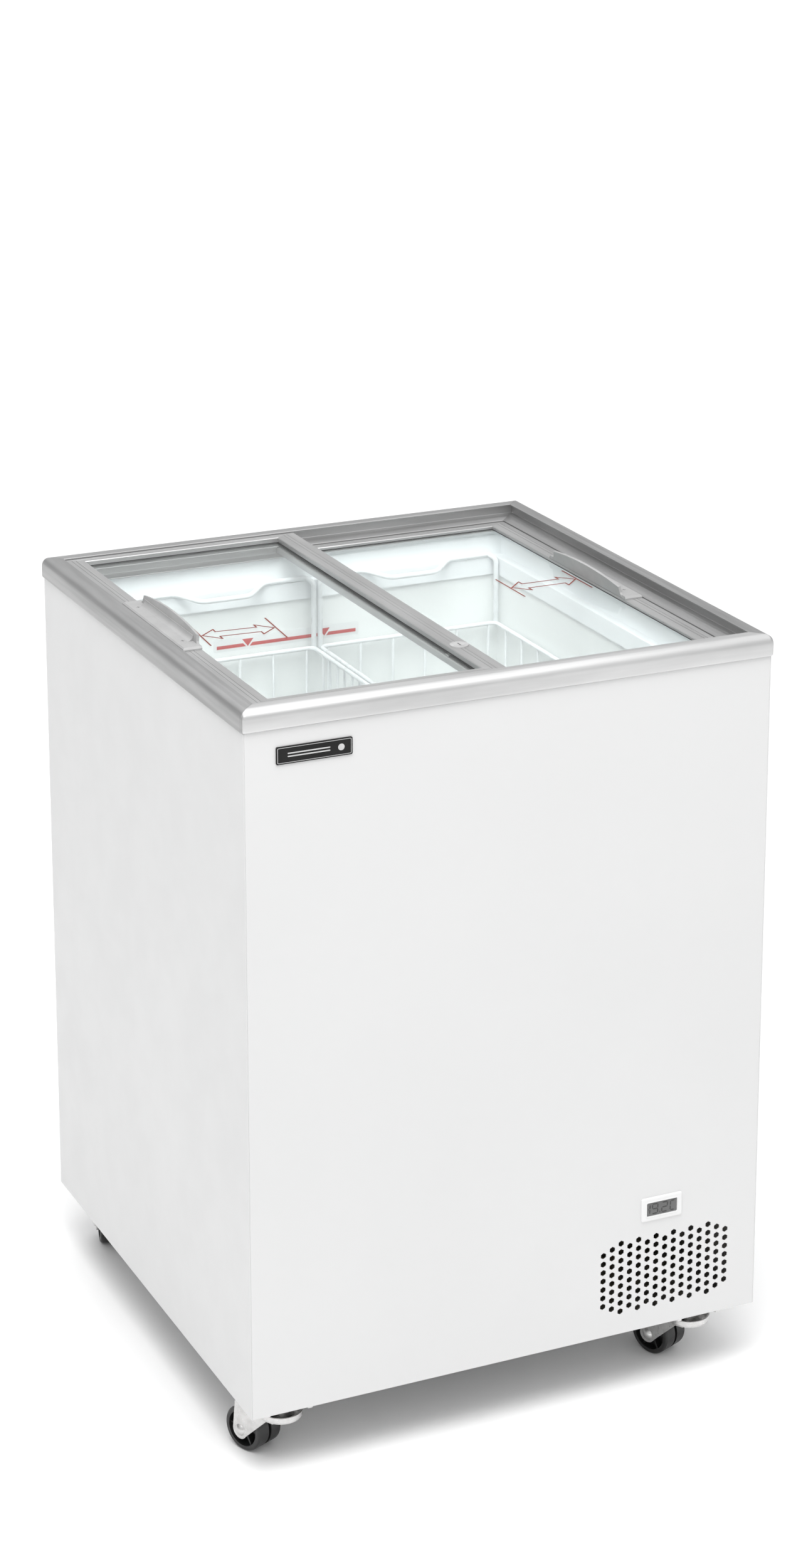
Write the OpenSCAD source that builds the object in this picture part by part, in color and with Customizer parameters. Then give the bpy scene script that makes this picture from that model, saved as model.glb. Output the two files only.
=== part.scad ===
// Ice cream dipping cabinet: an insulated chest on four castors, with two framed glass lids
// that slide on two levels, two hanging wire baskets and a machine compartment at lower right.
// The origin is on the floor, under the middle of the cabinet. The front faces -Y.

/* [Cabinet] */
// Width of the cabinet body
body_w = 600; // [600:1:610]
// Depth of the cabinet body
body_d = 600; // [600:1:610]
// Height of the body, from its base to the underside of the top frame
body_h = 751; // [740:1:780]
// Height of the base above the floor, on the castors
base_z = 71; // [70:0.5:74]
// Thickness of the outer sheets
sheet_t = 1; // [0.8:0.1:1.2]
// Thickness of the insulated walls, to the face of the liner
wall_t = 51; // [50:0.5:53]
// Height of the storage floor above the base, in the deep part
floor_h = 60; // [50:1:80]

/* [Machine compartment] */
// Left side of the compartment, from the middle of the cabinet
bay_x = 60; // [50:1:80]
// Height of the compartment above the base
bay_h = 230; // [220:1:240]

/* [Top frame] */
// How far the frame stands out past the body
frame_over = 3; // [2:0.5:4]
// Width of the frame, from its outer face to the mouth of the well
frame_w = 53; // [52:0.5:54]
// Height of the frame
frame_h = 24; // [24:0.5:26]
// Radius of the frame's outer top edge
frame_round = 10; // [8:0.5:11]

/* [Lids] */
// Width of the front and back rails of a lid
rail_w = 17; // [15:0.5:17.5]
// Width of the outer stiles, which carry the handles
stile_w = 25; // [24:0.5:26]
// Thickness of the glass
glass_t = 3.5; // [3:0.5:3.5]
// Length of a handle
handle_l = 184; // [150:1:200]
// Height of the middle of a handle's fin above the lid
handle_h = 17.5; // [15:0.5:18]

/* [Baskets] */
// Width of a basket, between the middles of its corner wires
basket_w = 228; // [220:0.5:229]
// Depth of a basket, between the middles of its corner wires
basket_d = 476; // [460:1:478]
// Height of a basket's wall
basket_h = 183; // [150:1:190]
// Drop from the hanging wire to the basket's rim
hanger_drop = 83; // [70:1:90]

/* [Castors] */
// Diameter of a castor wheel
wheel_d = 50; // [48:1:50]
// Width of a castor wheel
wheel_w = 34; // [32:1:34]
// Distance from the swivel's axis to the wheel's axle
castor_trail = 41; // [38:1:42]

/* [Front fittings] */
// Width across the flats of a vent hole
vent_hole = 6.4; // [5:0.1:7]
// Distance between the columns of vent holes
vent_pitch_x = 10.75; // [10:0.05:11]
// Distance between the holes of a column
vent_pitch_z = 10.1; // [9.5:0.05:11]

/* [Hidden] */
$fn = 48;

// Colours
c_white = "#ececec";
c_silver = "#a9a9a9";
c_dark = "#1b1b1b";
c_liner = "#f2f6f8";
c_zinc = "#c3c5c6";
c_red = "#e0453d";
c_brown = "#8a4030";

// Small lengths used throughout
eps = 0.05;
overshoot = 1;
run_gap = 0.06;

// Levels and half sizes of the cabinet
top_z = base_z + body_h;
half_w = body_w / 2;
half_d = body_d / 2;
frame_x = half_w + frame_over;
frame_y = half_d + frame_over;
base_t = 2;
liner_t = 1;
well_x = half_w - wall_t;
well_y = half_d - wall_t;
bay_top = base_z + bay_h;
step_wall = 45;
deep_floor = base_z + floor_h;
step_floor = bay_top + step_wall;
deep_x = bay_x - step_wall;

// Collar round the mouth of the well, with the ledge that the baskets hang on
ledge_z = base_z + 721;
collar_t = 2;
collar_skirt = 19;
collar_in_x = well_x - 3;
collar_in_y = well_y - 3;
collar_up = 11;

// Top frame: two tracks, one above the other
lip_u = 21.2;
lip_t = 1.6;
upper_slot_u = 17;
upper_track = 12.4;
lower_lip_u = 38.5;
lower_slot_u = 34.5;
lower_slot_top = 9.2;
lower_track = 1.2;
slide_gap = 0.3;
edge_round = 3;

// Lids: upper one on the left, lower one on the right
upper_z = top_z + upper_track + slide_gap;
upper_t = frame_h - lip_t - upper_track - 2 * slide_gap;
lower_z = top_z + lower_track + slide_gap;
lower_t = lower_slot_top - lower_track - 2 * slide_gap;
side_gap = 0.4;
upper_x0 = -frame_x + upper_slot_u + side_gap;
upper_x1 = 0;
upper_y = frame_y - upper_slot_u - side_gap;
lower_x0 = -27;
lower_x1 = frame_x - lower_slot_u - side_gap;
lower_y = frame_y - lower_slot_u - side_gap;
inner_stile_w = 24;
rebate = 4;
rebate_h = 3.9;
glass_lift = 0.2;
glass_edge = rebate - 0.2;
line_w = 0.6;
line_deep = 0.4;

// Handles
handle_w = 21;
handle_base = 3.5;
fin_t = 3;
fin_lean = 10;
fin_end = 12.5;
fin_half = handle_l / 2 - 15;
channel_r = 6;
screw_y = 66;
screw_r = 1.8;
screw_head_r = 3.8;
handle_y_left = 0;
handle_y_right = 10;

// Lid lock
lock_x = upper_x1 - stile_w / 2;
lock_y = -191;
lock_r = 8.6;
lock_flange_r = 10;
plug_r = 6;
cam_t = 1.6;
cam_z = upper_z - 1.1 - cam_t;
cam_arm = 14;
cam_w = 8;

// Baskets
thin_wire = 3;
thick_wire = 6;
ball_r = 3.7;
ball_cut = 1.9;
hanger_z = ledge_z + ball_r + 0.1;
rim_z = hanger_z - hanger_drop;
hanger_y = collar_in_y + 0.2;
grip_y = hanger_y - 22;
grip_drop = 6;
hanger_rise = 4.6;
hanger_in = 6;
basket_left_x = -107.75;
basket_right_x = 128;
cage_wires = 6;
cage_pitch = 41.7;
side_wires = 11;
side_pitch = 42;
cage_bands = 3;

// Castors: [x, y, direction of the wheel from the swivel in degrees]
castor_spots = [[-254, -268, 113], [235.5, -269, 113], [-258, 227, 75], [245, 227, 100]];
axle_z = wheel_d / 2;
axle_r = 4;
castor_plate_t = 2.5;
castor_plate_x = 62;
castor_plate_y = 52;
cup_r = 19.5;
cup_h = 8;
dish_r = 23.5;
dish_top = base_z - 12.5;
dish_low = base_z - 20.5;
king_r = 6;
fork_in = wheel_w / 2 + 1.5;
fork_t = 2;
bolt_x = 24;
bolt_y = 19;

// Front fittings
vent_cols = 15;
vent_x0 = 411.1 - half_w;
vent_mid_z = base_z + 67.2;
thermo_x = 181;
thermo_z = base_z + 141.5;
thermo_w = 50;
thermo_h = 27.5;
badge_x = -224.25;
badge_z = base_z + 723.25;
badge_w = 82.5;
badge_h = 18.5;

// Rear opening of the machine compartment
grille_x0 = 72;
grille_x1 = 288;
grille_z0 = base_z + 16;
grille_z1 = base_z + 214;
knob_x = 246;
knob_z = base_z + 180;
knob_r = 15;
gland_x = 100;
gland_z = base_z + 38;
gland_bore = 4;
gland_neck = 7;
grille_t = 1.2;

// Cooling parts
comp_x = 180;
comp_y = 60;
comp_r = 72;
comp_z = base_z + 18;

// A box from one corner to the opposite one
module box(a, b) {
    translate(a) cube(b - a);
}

// A block with round corners seen along Z
module round_slab(w, d, h, r) {
    for (x = [-1, 1], y = [-1, 1])
        translate([x * (w / 2 - r), y * (d / 2 - r), 0]) cylinder(r = r, h = h);
    translate([-w / 2 + r, -d / 2, 0]) cube([w - 2 * r, d, h]);
    translate([-w / 2, -d / 2 + r, 0]) cube([w, d - 2 * r, h]);
}

// ---- Casing ----

// How many holes a column of the vent has: a long and a short column take turns
function vent_count(i) = i == 0 || i == vent_cols - 1 ? 7 : (i % 2 == 1 ? 8 : 9);

module vent_holes() {
    for (i = [0 : vent_cols - 1])
        for (j = [0 : vent_count(i) - 1])
            translate([vent_x0 + i * vent_pitch_x, -half_d - overshoot,
                    vent_mid_z + (j - (vent_count(i) - 1) / 2) * vent_pitch_z])
                rotate([-90, 0, 0]) rotate(30)
                    cylinder(d = vent_hole / cos(30), h = sheet_t + 2 * overshoot, $fn = 6);
}

module front_panel() {
    color(c_white) difference() {
        box([-half_w + sheet_t, -half_d, base_z], [half_w - sheet_t, -half_d + sheet_t, top_z]);
        vent_holes();
        box([thermo_x - 22.7, -half_d - overshoot, thermo_z - 11.7],
            [thermo_x + 22.7, -half_d + sheet_t + overshoot, thermo_z + 11.7]);
    }
}

module side_panel(side) {
    x0 = side * half_w;
    x1 = side * (half_w - sheet_t);
    color(c_white)
        box([min(x0, x1), -half_d, base_z], [max(x0, x1), half_d, top_z]);
}

module left_panel() {
    side_panel(-1);
}

module right_panel() {
    side_panel(1);
}

module back_panel() {
    color(c_white) difference() {
        box([-half_w + sheet_t, half_d - sheet_t, base_z], [half_w - sheet_t, half_d, top_z]);
        box([grille_x0, half_d - sheet_t - overshoot, grille_z0],
            [grille_x1, half_d + overshoot, grille_z1]);
    }
}

module base_plate() {
    color("#8f9193")
        box([-half_w + sheet_t, -half_d + sheet_t, base_z],
            [half_w - sheet_t, half_d - sheet_t, base_z + base_t]);
}

// The storage well: a deep part on the left, and a step over the machine compartment
module well(grow) {
    box([-well_x - grow, -well_y - grow, deep_floor - grow], [deep_x + grow, well_y + grow, ledge_z]);
    box([-well_x - grow, -well_y - grow, step_floor - grow], [well_x + grow, well_y + grow, ledge_z]);
}

module insulation_foam() {
    color("#e6d9ae") difference() {
        box([-half_w + sheet_t, -half_d + sheet_t, base_z + base_t],
            [half_w - sheet_t, half_d - sheet_t, top_z]);
        well(liner_t);
        box([-collar_in_x - collar_up - collar_t, -collar_in_y - collar_up - collar_t, ledge_z - collar_t],
            [collar_in_x + collar_up + collar_t, collar_in_y + collar_up + collar_t, top_z + overshoot]);
        box([bay_x, -half_d, base_z], [half_w, half_d, bay_top]);
    }
}

module inner_liner() {
    color(c_liner) difference() {
        intersection() {
            well(liner_t);
            box([-half_w, -half_d, base_z], [half_w, half_d, ledge_z - collar_t]);
        }
        translate([0, 0, eps]) well(0);
    }
}

// A rectangular ring, open at the middle
module ring(in_x, in_y, t, z0, z1) {
    difference() {
        box([-in_x - t, -in_y - t, z0], [in_x + t, in_y + t, z1]);
        box([-in_x, -in_y, z0 - overshoot], [in_x, in_y, z1 + overshoot]);
    }
}

module liner_collar() {
    color("#fbfdff") {
        ring(collar_in_x, collar_in_y, collar_t, ledge_z - collar_t - collar_skirt, ledge_z);
        ring(collar_in_x, collar_in_y, collar_up + collar_t, ledge_z - collar_t, ledge_z);
        ring(collar_in_x + collar_up, collar_in_y + collar_up, collar_t, ledge_z - collar_t, top_z);
    }
}

// ---- Top frame ----

// Section of a frame bar. The outer face is at x = 0, and the mouth of the well is on the right.
module frame_section() {
    translate([edge_round, 0]) square([upper_slot_u - edge_round, frame_h - frame_round]);
    translate([0, edge_round]) square([edge_round, frame_h - frame_round - edge_round]);
    translate([edge_round, edge_round]) circle(r = edge_round);
    intersection() {
        translate([frame_round, frame_h - frame_round]) circle(r = frame_round);
        square([frame_round + eps, frame_h]);
    }
    translate([frame_round, 0]) square([upper_slot_u - frame_round, frame_h]);
    translate([frame_round, frame_h - lip_t]) square([lip_u - frame_round, lip_t]);
    translate([edge_round, 0]) square([lower_slot_u - edge_round, lower_slot_top]);
    polygon([[upper_slot_u - overshoot, lower_slot_top - overshoot],
        [lower_slot_u, lower_slot_top - overshoot], [lower_slot_u, lower_slot_top],
        [lower_lip_u, lower_slot_top], [lower_lip_u, lower_slot_top + 1.2],
        [lip_u + 3, upper_track], [upper_slot_u - overshoot, upper_track]]);
    translate([edge_round, 0]) square([frame_w - edge_round, lower_track]);
}

// One mitred bar of the frame, with its outer face towards -Y
module frame_bar(half_len, out) {
    cut = frame_w + frame_over;
    color(c_silver) intersection() {
        translate([-half_len, -out, top_z]) rotate([90, 0, 90])
            linear_extrude(2 * half_len) frame_section();
        translate([0, 0, top_z - overshoot]) linear_extrude(frame_h + 2 * overshoot)
            polygon([[-half_len, -out], [half_len, -out],
                [half_len - cut, -out + cut], [-half_len + cut, -out + cut]]);
    }
}

module frame_front() {
    frame_bar(frame_x, frame_y);
}

module frame_back() {
    rotate(180) frame_bar(frame_x, frame_y);
}

module frame_left() {
    rotate(-90) frame_bar(frame_y, frame_x);
}

module frame_right() {
    rotate(90) frame_bar(frame_y, frame_x);
}

// ---- Front fittings ----

module badge_plate() {
    color(c_dark) translate([badge_x, -half_d, badge_z]) rotate([90, 0, 0])
        round_slab(badge_w, badge_h, 1.4, 1.6);
}

module thermometer_bezel() {
    window_w = 37;
    window_h = 15.6;
    color("white") translate([thermo_x, -half_d, thermo_z]) difference() {
        union() {
            rotate([90, 0, 0]) round_slab(thermo_w, thermo_h, 2, 2);
            box([-22.5, 0, -11.5], [22.5, 13, 11.5]);
        }
        box([-window_w / 2, -3, -window_h / 2], [window_w / 2, 4, window_h / 2]);
    }
}

module thermometer_display() {
    color("#54585c") translate([thermo_x, -half_d, thermo_z])
        box([-18.4, -1.2, -7.7], [18.4, 3.9, 7.7]);
}

module load_line_sticker() {
    t = 0.3;
    line_len = 175;
    line_h = 4;
    mark_w = 14;
    mark_h = 9;
    gap = 3;
    z0 = base_z + 651;
    color(c_red) translate([-23.5, well_y, z0]) rotate([90, 0, 0]) linear_extrude(t) {
        difference() {
            translate([-line_len / 2, 0]) square([line_len, line_h]);
            for (x = [-48.8, 47.5])
                translate([x, 0]) polygon([[-mark_w / 2 - gap, mark_h], [mark_w / 2 + gap, mark_h],
                    [gap / 2, -overshoot], [-gap / 2, -overshoot]]);
        }
        for (x = [-48.8, 47.5])
            translate([x, 0]) polygon([[-mark_w / 2, mark_h], [mark_w / 2, mark_h], [0, 0]]);
    }
}

// ---- Cooling system ----

module compressor() {
    shell_h = 96;
    dome = 34;
    color("#151617") translate([comp_x, comp_y, comp_z]) {
        translate([0, 0, dome]) cylinder(r = comp_r, h = shell_h - dome);
        intersection() {
            translate([0, 0, dome]) sphere(r = comp_r);
            translate([0, 0, -overshoot]) cylinder(r = comp_r, h = dome + overshoot);
            box([-comp_r, -comp_r, 2], [comp_r, comp_r, dome]);
        }
        intersection() {
            translate([0, 0, shell_h - 30]) sphere(r = comp_r + 6);
            box([-comp_r, -comp_r, shell_h - 1], [comp_r, comp_r, shell_h + 50]);
        }
        translate([0, 0, shell_h - 4]) cylinder(r = comp_r + 3, h = 4);
        translate([-82, -62, 0]) cube([164, 124, 3]);
        box([-comp_r - 22, -24, 34], [-comp_r + 12, 24, 88]);
        translate([40, comp_r - 16, 60]) rotate([-90, 0, 0]) cylinder(r = 4, h = 36);
        translate([-40, comp_r - 16, 60]) rotate([-90, 0, 0]) cylinder(r = 4, h = 36);
    }
}

module compressor_mounts() {
    color(c_dark)
        for (x = [-70, 70], y = [-50, 50])
            translate([comp_x + x, comp_y + y, base_z + base_t])
                cylinder(r = 11, h = comp_z - base_z - base_t);
}

module filter_drier() {
    color("#b87340") translate([276, -40, base_z + 60]) {
        cylinder(r = 9, h = 90);
        translate([0, 0, 90]) cylinder(r1 = 9, r2 = 3, h = 14);
        translate([0, 0, 104]) cylinder(r = 3, h = 20);
        translate([0, 0, -14]) cylinder(r1 = 3, r2 = 9, h = 14);
        translate([0, 0, -34]) cylinder(r = 3, h = 20);
    }
}

// A flat serpentine of tube in a plane of constant X
module serpentine(x, y0, y1, z0, rows, pitch, r) {
    for (i = [0 : rows - 1])
        translate([x, y0, z0 + i * pitch]) rotate([-90, 0, 0]) cylinder(r = r, h = y1 - y0);
    for (i = [0 : rows - 2])
        translate([x, i % 2 == 0 ? y1 : y0, z0 + (i + 0.5) * pitch])
            rotate([0, 90, 0]) rotate(i % 2 == 0 ? 0 : 180)
                rotate_extrude(angle = 180) translate([pitch / 2, 0]) circle(r = r);
}

// Tubes foamed in behind the side sheets, which give off the heat
module condenser_coil() {
    r = 3;
    x = half_w - sheet_t - r - 0.5;
    color("#9a5b34") {
        serpentine(-x, -240, 240, base_z + 90, 9, 68, r);
        serpentine(x, -240, 240, bay_top + 24, 7, 68, r);
    }
}

// Loops of tube foamed in round the storage well, which draw the heat out
module evaporator_coil() {
    r = 4;
    bend = 8;
    ex = well_x + liner_t + r + 1.5;
    ey = well_y + liner_t + r + 1.5;
    color("#c9cdd0") {
        for (i = [0 : 7])
            translate([0, 0, step_floor + 22 + i * 54]) {
                for (s = [-1, 1]) {
                    translate([-ex + bend, s * ey, 0]) rotate([0, 90, 0])
                        cylinder(r = r, h = 2 * (ex - bend));
                    translate([s * ex, -ey + bend, 0]) rotate([-90, 0, 0])
                        cylinder(r = r, h = 2 * (ey - bend));
                }
                for (a = [0 : 90 : 270])
                    translate([(a == 0 || a == 270 ? 1 : -1) * (ex - bend),
                            (a < 180 ? 1 : -1) * (ey - bend), 0])
                        rotate(a) rotate_extrude(angle = 90) translate([bend, 0]) circle(r = r);
            }
        translate([ex + 3, 0, step_floor + 22]) cylinder(r = 2.5, h = 7 * 54);
    }
}

module cord_gland() {
    color(c_dark) translate([gland_x, half_d, gland_z]) rotate([-90, 0, 0]) difference() {
        union() {
            translate([0, 0, grille_t]) cylinder(r = 10, h = 1.5);
            translate([0, 0, -10]) cylinder(r = gland_neck, h = 10 + grille_t + eps);
        }
        translate([0, 0, -10 - overshoot]) cylinder(r = gland_bore, h = 15);
    }
}

module thermostat_body() {
    color("#d8d8d4") translate([knob_x, half_d, knob_z]) {
        box([-20, -52, -20], [20, -18, 20]);
        rotate([90, 0, 0]) translate([0, 0, 7]) cylinder(r = 3, h = 12);
    }
}

module thermostat_knob() {
    color(c_dark) translate([knob_x, half_d, knob_z]) rotate([90, 0, 0]) difference() {
        union() {
            cylinder(r = knob_r, h = 12);
            translate([0, 0, 12]) cylinder(r = 9, h = 4);
            translate([-2, -knob_r + 1, -2.4]) cube([4, 2 * knob_r - 2, 3]);
        }
        translate([0, 0, 5]) cylinder(r = 3 + run_gap, h = 20);
    }
}

module rear_grille() {
    color(c_white) difference() {
        box([grille_x0 - 8, half_d, grille_z0 - 8], [grille_x1 + 8, half_d + grille_t, grille_z1 + 8]);
        for (z = [0 : 9], x = [0, 1])
            box([grille_x0 + 12 + x * 66, half_d - overshoot, grille_z0 + 46 + z * 14],
                [grille_x0 + 66 + x * 66, half_d + 3, grille_z0 + 52 + z * 14]);
        translate([knob_x, half_d - overshoot, knob_z]) rotate([-90, 0, 0])
            cylinder(r = knob_r + 2, h = 4);
        translate([gland_x, half_d - overshoot, gland_z]) rotate([-90, 0, 0])
            cylinder(r = gland_neck, h = 4);
        grille_screws(1.6);
    }
}

// Places of the screws that hold the rear grille
module grille_screws(r) {
    for (x = [grille_x0 - 4, grille_x1 + 4], z = [grille_z0 - 4, grille_z1 + 4])
        translate([x, half_d - 0.5, z]) rotate([-90, 0, 0]) cylinder(r = r, h = 3);
}

module screws() {
    color(c_zinc) {
        for (x = [grille_x0 - 4, grille_x1 + 4], z = [grille_z0 - 4, grille_z1 + 4])
            translate([x, half_d, z]) rotate([-90, 0, 0]) {
                cylinder(r = 1.6, h = 1.3);
                translate([0, 0, 1.2]) cylinder(r = 3.4, h = 1.6);
            }
        for (spot = castor_spots, x = [-bolt_x, bolt_x], y = [-bolt_y, bolt_y])
            translate([spot[0] + x, spot[1] + y, base_z - castor_plate_t - 4])
                cylinder(r = 5, h = 4, $fn = 6);
    }
}

// ---- Lids ----

// Section of a lid bar. The outer edge is at x = 0, and the glass sits in the rebate.
module bar_section(w, h) {
    ch = 0.8;
    difference() {
        polygon([[0, 0], [w - rebate, 0], [w - rebate, rebate_h], [w, rebate_h], [w, h - ch],
            [w - ch, h], [ch, h], [0, h - ch]]);
        for (f = [0.42, 0.6])
            translate([w * f, h - line_deep]) square([line_w, line_deep + overshoot]);
    }
}

// One side of a lid's frame, mitred at both ends. v is [x0, x1, y, z, left width, right width, h].
module lid_side(which, v) {
    x0 = v[0];
    x1 = v[1];
    y = v[2];
    z = v[3];
    wl = v[4];
    wr = v[5];
    h = v[6];
    s = which == "back" ? 1 : -1;
    plan = which == "left" ? [[x0, -y], [x0 + wl, -y + rail_w], [x0 + wl, y - rail_w], [x0, y]]
        : which == "right" ? [[x1, -y], [x1 - wr, -y + rail_w], [x1 - wr, y - rail_w], [x1, y]]
        : [[x0, s * y], [x1, s * y], [x1 - wr, s * (y - rail_w)], [x0 + wl, s * (y - rail_w)]];
    color(c_silver) intersection() {
        if (which == "left")
            translate([x0, y, z]) rotate([90, 0, 0]) linear_extrude(2 * y) bar_section(wl, h);
        else if (which == "right")
            translate([x1, y, z]) mirror([1, 0, 0]) rotate([90, 0, 0])
                linear_extrude(2 * y) bar_section(wr, h);
        else
            translate([x0, s * y, z]) mirror([0, s > 0 ? 1 : 0, 0]) rotate([90, 0, 90])
                linear_extrude(x1 - x0) bar_section(rail_w, h);
        translate([0, 0, z - overshoot]) linear_extrude(h + 2 * overshoot) polygon(plan);
    }
}

upper_lid = [upper_x0, upper_x1, upper_y, upper_z, stile_w, stile_w, upper_t];
lower_lid = [lower_x0, lower_x1, lower_y, lower_z, inner_stile_w, stile_w, lower_t];

module lid_glass(v) {
    color([0.8, 0.92, 0.9, 0.3])
        box([v[0] + v[4] - glass_edge, -v[2] + rail_w - glass_edge, v[3] + glass_lift],
            [v[1] - v[5] + glass_edge, v[2] - rail_w + glass_edge, v[3] + glass_lift + glass_t]);
}

// Holes for a handle's two screws
module handle_screw_holes(x, y, z) {
    for (s = [-1, 1])
        translate([x, y + s * screw_y, z - 5]) cylinder(r = screw_r, h = 12);
}

// A handle with its fin towards +X, on a lid whose top is at z = 0
module handle_shape() {
    half = handle_l / 2;
    arch_r = (fin_half * fin_half + pow(handle_h - fin_end, 2)) / (2 * (handle_h - fin_end));
    difference() {
        union() {
            translate([0, half, 0]) rotate([90, 0, 0])
                linear_extrude(handle_l) polygon([[0, 0], [handle_w, 0], [handle_w, handle_base],
                    [1.5, handle_base], [0, handle_base - 1.5]]);
            translate([handle_w - fin_t, 0, 0]) rotate([0, fin_lean, 0]) rotate([90, 0, 90])
                linear_extrude(fin_t) intersection() {
                    translate([0, handle_h - arch_r]) circle(r = arch_r, $fn = 180);
                    polygon([[-fin_half - 7, 1], [fin_half + 7, 1], [fin_half + 3, 6],
                        [fin_half, handle_h], [-fin_half, handle_h], [-fin_half - 3, 6]]);
                }
            difference() {
                box([handle_w - fin_t - channel_r, -fin_half + 6, handle_base - eps],
                    [handle_w - fin_t / 2, fin_half - 6, handle_base + channel_r]);
                translate([handle_w - fin_t - channel_r + 0.6, -half, handle_base + channel_r])
                    rotate([-90, 0, 0]) cylinder(r = channel_r, h = handle_l);
                translate([handle_w - fin_t + 1, -half, handle_base + 1])
                    rotate([0, fin_lean, 0]) cube([6, handle_l, 12]);
            }
        }
        for (s = [-1, 1]) {
            translate([-overshoot, s * half, handle_base]) rotate([45, 0, 0])
                translate([0, -1.5, -1.5]) cube([handle_w + 8, 3, 3]);
            translate([9, s * screw_y, -overshoot]) cylinder(r = screw_r, h = 8);
            translate([9, s * screw_y, handle_base - 2]) cylinder(r1 = screw_r, r2 = screw_head_r, h = 2);
            translate([9, s * screw_y, handle_base]) cylinder(r = screw_head_r, h = 3);
        }
    }
}

module handle_screws_shape() {
    for (s = [-1, 1])
        translate([9, s * screw_y, 0]) difference() {
            union() {
                translate([0, 0, -4]) cylinder(r = screw_r, h = 6);
                translate([0, 0, handle_base - 2]) cylinder(r1 = screw_r, r2 = screw_head_r, h = 2);
            }
            for (a = [0, 90])
                rotate(a) translate([-2.2, -0.45, handle_base - 0.9]) cube([4.4, 0.9, 2]);
        }
}

// Puts a handle's shapes on the left or the right lid
module at_left_handle() {
    translate([upper_x0 + stile_w - handle_w, handle_y_left, upper_z + upper_t]) children();
}

module at_right_handle() {
    translate([lower_x1 - stile_w + handle_w, handle_y_right, lower_z + lower_t])
        mirror([1, 0, 0]) children();
}

// A straight stroke of a printed mark
module stroke(a, b, w) {
    d = b - a;
    translate(a) rotate(atan2(d[1], d[0])) translate([-w / 2, -w / 2]) square([norm(d) + w, w]);
}

// Printed mark that shows which way a lid slides: a hollow double arrow between two bars
module slide_mark_shape() {
    w = 1.6;
    gap = 84;
    bar = 72;
    head_l = 17;
    head_w = 34;
    shaft_w = 17;
    tip = gap / 2 - 2;
    neck = tip - head_l;
    path = [[-tip, 0], [-neck, head_w / 2], [-neck, shaft_w / 2], [neck, shaft_w / 2],
        [neck, head_w / 2], [tip, 0], [neck, -head_w / 2], [neck, -shaft_w / 2],
        [-neck, -shaft_w / 2], [-neck, -head_w / 2]];
    color(c_brown) linear_extrude(0.25) {
        for (i = [0 : len(path) - 1])
            stroke(path[i], path[(i + 1) % len(path)], w);
        for (s = [-1, 1])
            stroke([s * gap / 2, -bar / 2], [s * gap / 2, bar / 2], w);
    }
}

module lid_left_glass() {
    lid_glass(upper_lid);
}

module lid_left_rails() {
    lid_side("front", upper_lid);
    lid_side("back", upper_lid);
}

module lid_left_outer_stile() {
    difference() {
        lid_side("left", upper_lid);
        at_left_handle() handle_screw_holes(9, 0, 0);
    }
}

module lid_left_centre_stile() {
    difference() {
        lid_side("right", upper_lid);
        translate([lock_x, lock_y, upper_z - overshoot]) cylinder(r = lock_r, h = upper_t + 2);
    }
}

module lid_left_handle() {
    color("#a6a6a6") at_left_handle() handle_shape();
}

module lid_left_handle_screws() {
    color(c_zinc) at_left_handle() handle_screws_shape();
}

module lid_left_slide_mark() {
    translate([-197, -34, upper_z + glass_lift + glass_t]) rotate(-4) slide_mark_shape();
}

module lock_barrel() {
    color(c_zinc) translate([lock_x, lock_y, upper_z]) difference() {
        union() {
            cylinder(r = lock_r, h = upper_t);
            translate([0, 0, upper_t]) cylinder(r = lock_flange_r, h = 1.2);
        }
        translate([0, 0, -overshoot]) cylinder(r = plug_r + run_gap, h = upper_t + 4);
    }
}

module lock_plug() {
    plug_top = upper_z + upper_t + 1.4;
    color(c_zinc) translate([lock_x, lock_y, 0]) difference() {
        union() {
            translate([0, 0, cam_z + cam_t]) cylinder(r = plug_r, h = plug_top - cam_z - cam_t);
            translate([0, 0, cam_z]) cylinder(r = 2.5, h = cam_t + eps);
        }
        translate([-0.8, -4, plug_top - 5]) cube([1.6, 8, 6]);
    }
}

module lock_cam() {
    color(c_zinc) translate([lock_x, lock_y, cam_z]) difference() {
        union() {
            cylinder(r = 5.5, h = cam_t);
            translate([-cam_arm, -cam_w / 2, 0]) cube([cam_arm, cam_w, cam_t]);
        }
        translate([0, 0, -overshoot]) cylinder(r = 2.5, h = cam_t + 2);
    }
}

module lid_right_glass() {
    lid_glass(lower_lid);
}

module lid_right_rails() {
    lid_side("front", lower_lid);
    lid_side("back", lower_lid);
}

module lid_right_outer_stile() {
    difference() {
        lid_side("right", lower_lid);
        at_right_handle() handle_screw_holes(9, 0, 0);
    }
}

// The inner stile carries a small strike that the lock's cam turns behind
module lid_right_inner_stile() {
    lid_side("left", lower_lid);
    color(c_silver)
        box([lock_x + cam_w / 2 + 0.6, lock_y - 16, lower_z + lower_t + eps],
            [lock_x + cam_w / 2 + 4, lock_y - 8, cam_z + cam_t]);
}

module lid_right_handle() {
    color("#a6a6a6") at_right_handle() handle_shape();
}

module lid_right_handle_screws() {
    color(c_zinc) at_right_handle() handle_screws_shape();
}

module lid_right_slide_mark() {
    translate([196, 24, lower_z + glass_lift + glass_t]) slide_mark_shape();
}

// ---- Baskets ----

// Square section wire from a to b, along one axis, as a stand-in for a thin round wire
module bar(a, b, t) {
    box([min(a[0], b[0]) - t / 2, min(a[1], b[1]) - t / 2, min(a[2], b[2]) - t / 2],
        [max(a[0], b[0]) + t / 2, max(a[1], b[1]) + t / 2, max(a[2], b[2]) + t / 2]);
}

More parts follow.
